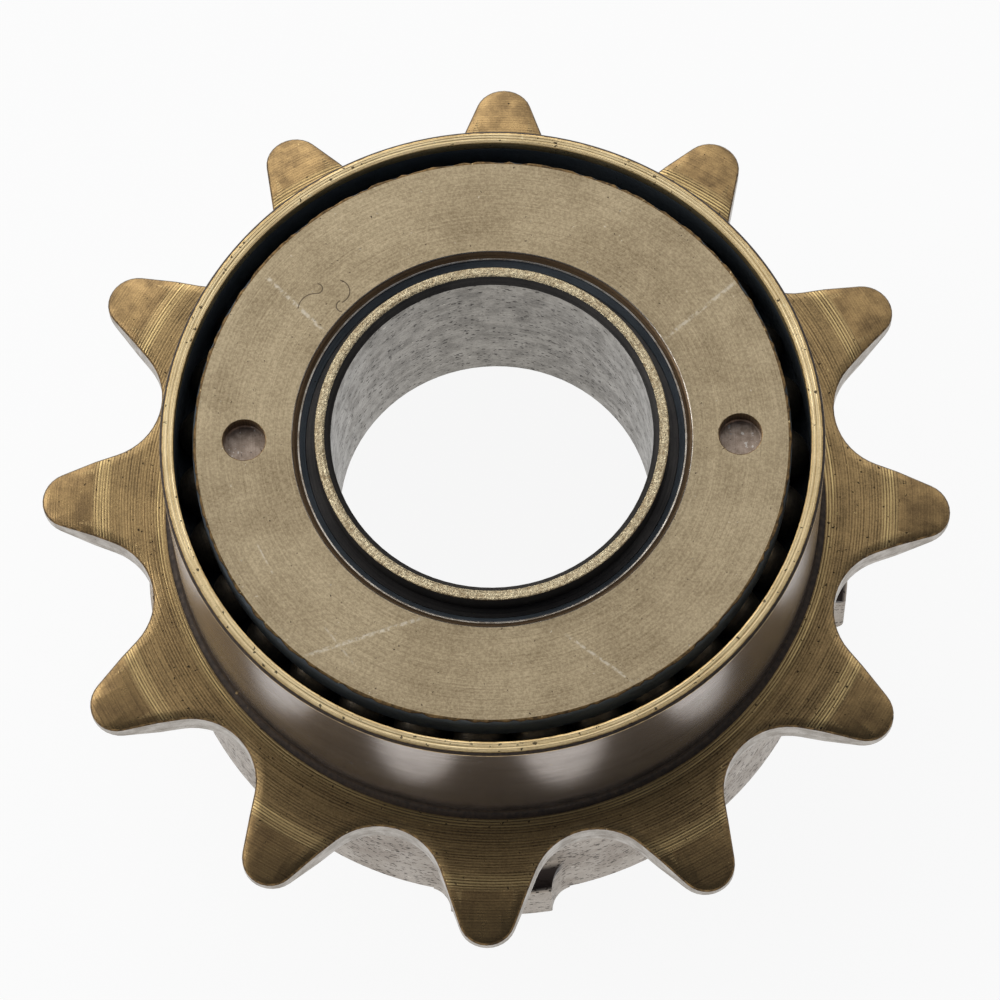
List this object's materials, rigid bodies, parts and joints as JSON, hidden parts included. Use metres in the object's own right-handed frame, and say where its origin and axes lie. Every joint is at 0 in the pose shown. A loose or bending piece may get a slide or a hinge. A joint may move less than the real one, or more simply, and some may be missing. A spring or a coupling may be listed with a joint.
{
  "type": "single speed freewheel",
  "caption": "Single speed freewheel with twelve chain teeth, a screwed two-pin cover and a stepped hub skirt with spanner lugs.",
  "frame": {"origin": "on the axle line, in the lower face that stands against the hub", "axes": "+Z along the axle line, out through the cover; +X through a pin spanner hole"},
  "size_m": [0.0534, 0.0534, 0.0265],
  "materials": {
    "ring_steel": "turned hardened steel with a brown-bronze film",
    "cover_steel": "matt khaki plated steel, lightly scratched",
    "body_steel": "machined and forged steel with dark specks",
    "shim_steel": "rolled steel",
    "ball_steel": "polished bearing steel with a film of dark grease",
    "pawl_steel": "hardened steel",
    "spring_steel": "blued spring strip"
  },
  "bodies": {
    "body": {"inner_body": "body_steel", "cover": "cover_steel", "thin_shim": "shim_steel", "thick_shim": "shim_steel", "pawl_spring_left": "spring_steel", "pawl_spring_right": "spring_steel"},
    "ring": {"outer_ring": "ring_steel"},
    "upper_row": {"upper_balls": "ball_steel"},
    "lower_row": {"lower_balls": "ball_steel"},
    "left_pawl": {"pawl_left": "pawl_steel"},
    "right_pawl": {"pawl_right": "pawl_steel"}
  },
  "joints": [
    {"name": "ring_spin", "type": "hinge", "parent": "body", "child": "ring", "pos_m": [0, 0, 0.0136], "axis": [0, 0, 1], "continuous": true},
    {"name": "upper_row_spin", "type": "hinge", "parent": "body", "child": "upper_row", "pos_m": [0, 0, 0.022], "axis": [0, 0, 1], "continuous": true},
    {"name": "lower_row_spin", "type": "hinge", "parent": "body", "child": "lower_row", "pos_m": [0, 0, 0.0144], "axis": [0, 0, 1], "continuous": true},
    {"name": "left_pawl_swing", "type": "hinge", "parent": "body", "child": "left_pawl", "pos_m": [0, 0.0127, 0.0182], "axis": [0, 0, -1], "range_deg": [0, 17], "stiffness_Nm_per_rad": 0.002, "springref_deg": 28.65},
    {"name": "right_pawl_swing", "type": "hinge", "parent": "body", "child": "right_pawl", "pos_m": [0, -0.0127, 0.0182], "axis": [0, 0, -1], "range_deg": [0, 17], "stiffness_Nm_per_rad": 0.002, "springref_deg": 28.65}
  ],
  "couplings": [
    {"joint": "upper_row_spin", "follows": "ring_spin", "ratio": 0.534},
    {"joint": "lower_row_spin", "follows": "ring_spin", "ratio": 0.534}
  ]
}
